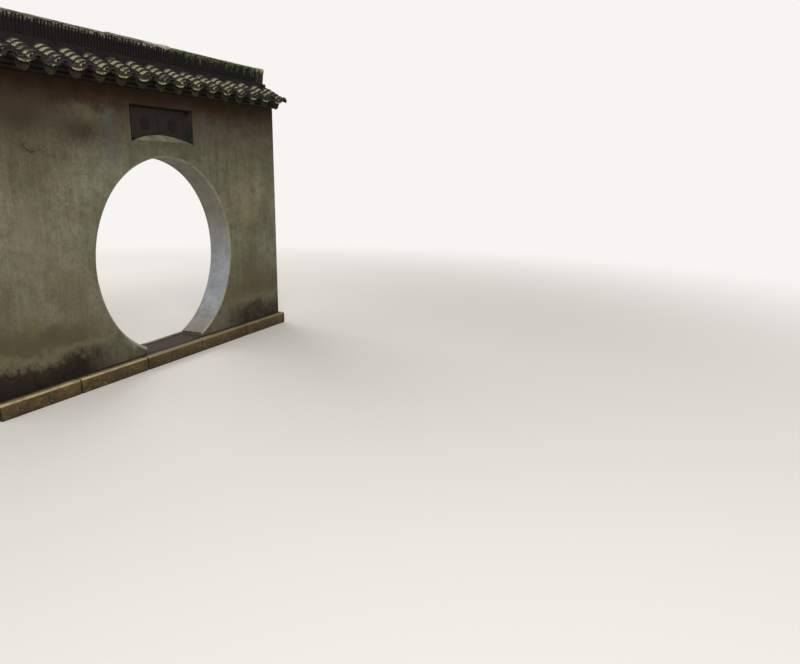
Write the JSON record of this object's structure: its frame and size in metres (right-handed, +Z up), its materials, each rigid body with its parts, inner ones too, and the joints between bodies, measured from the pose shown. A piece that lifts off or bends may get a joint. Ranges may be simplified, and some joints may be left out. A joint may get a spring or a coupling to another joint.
{
  "type": "moon gate",
  "caption": "Plastered brick garden wall with a round walk-through opening, a niche with carved bricks over it, stone kerbs and a tiled coping with a ridge.",
  "frame": {"origin": "middle of the wall's length and thickness, at ground level", "axes": "+X along the wall to the right as seen from the plaque's side, +Y through the opening away from the plaque's side, +Z up"},
  "size_m": [4.372, 0.8082, 3.3602],
  "materials": {
    "grey_brick": "grey clay brick in lime mortar",
    "lime_plaster": "trowelled lime plaster, weathered, streaked and stained",
    "lining_plaster": "smooth trowelled lime plaster, less weathered",
    "threshold_stone": "tooled stone slab, worn by feet",
    "kerb_stone": "granular dressed stone with a worn edge",
    "niche_plaster": "trowelled lime plaster in shade",
    "sill_plaster": "washed pale lime plaster",
    "plaque_brick": "rubbed and carved square brick",
    "corbel_plaster": "run plaster moulding, stained",
    "lime_mortar": "lime mortar, weathered",
    "roof_tile": "reduction-fired grey clay tile with lichen",
    "eave_tile": "moulded grey clay eave tile",
    "ridge_tile": "grey clay tiles set on edge",
    "cap_mortar": "lime mortar cap, weathered grey",
    "mended_mortar": "lime mortar cap, newer mend",
    "mossy_mortar": "lime mortar cap with moss"
  },
  "bodies": {
    "root": {"brick_wall_left": "grey_brick", "brick_wall_right": "grey_brick", "brick_wall_over_gate": "grey_brick", "front_plaster": "lime_plaster", "back_plaster": "lime_plaster", "left_end_plaster": "lime_plaster", "right_end_plaster": "lime_plaster", "opening_lining": "lining_plaster", "threshold_stone": "threshold_stone", "front_kerb_1": "kerb_stone", "front_kerb_2": "kerb_stone", "front_kerb_3": "kerb_stone", "front_kerb_4": "kerb_stone", "front_kerb_5": "kerb_stone", "back_kerb_stones": "kerb_stone", "niche_lining": "niche_plaster", "plaque_sill": "sill_plaster", "plaque_brick_left": "plaque_brick", "plaque_brick_right": "plaque_brick", "front_corbel_lower": "corbel_plaster", "front_corbel_upper": "corbel_plaster", "back_corbel_lower": "corbel_plaster", "back_corbel_upper": "corbel_plaster", "roof_bed": "lime_mortar", "left_verge": "lime_mortar", "right_verge": "lime_mortar", "front_pan_rows": "roof_tile", "front_cover_rows": "roof_tile", "front_drip_tiles": "eave_tile", "front_lace_tiles": "eave_tile", "back_pan_rows": "roof_tile", "back_cover_rows": "roof_tile", "back_drip_tiles": "eave_tile", "back_lace_tiles": "eave_tile", "ridge_base": "lime_mortar", "ridge_upright_tiles": "ridge_tile", "ridge_mortar": "lime_mortar", "ridge_cap_left": "cap_mortar", "ridge_cap_mended": "mended_mortar", "ridge_cap_right": "mossy_mortar", "ridge_end_left": "cap_mortar", "ridge_end_right": "mossy_mortar"}
  },
  "joints": []
}
